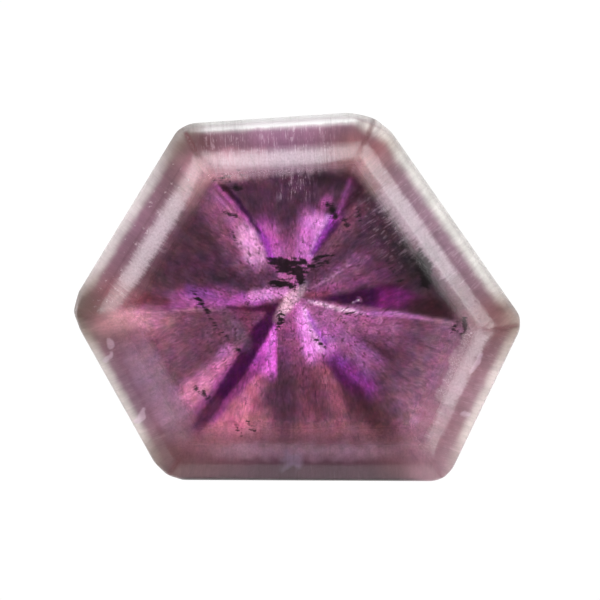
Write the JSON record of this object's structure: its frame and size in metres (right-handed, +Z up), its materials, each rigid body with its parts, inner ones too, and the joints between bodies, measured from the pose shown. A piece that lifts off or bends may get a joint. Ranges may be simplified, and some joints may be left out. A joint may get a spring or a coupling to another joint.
{
  "type": "trapiche amethyst slice",
  "caption": "Six-sided polished slab of cloudy purple quartz with a star pattern inside, a bevelled crown and a flat back it lies on.",
  "frame": {"origin": "middle of the flat back, below the middle of the outline's box", "axes": "+Z up through the stone from its back to its crown, +X to the right of the face, +Y towards the top side of the face"},
  "size_m": [0.028, 0.0232, 0.0058],
  "materials": {
    "amethyst": "polished, cloudy and see-through"
  },
  "bodies": {
    "root": {"amethyst_slice": "amethyst"}
  },
  "joints": []
}
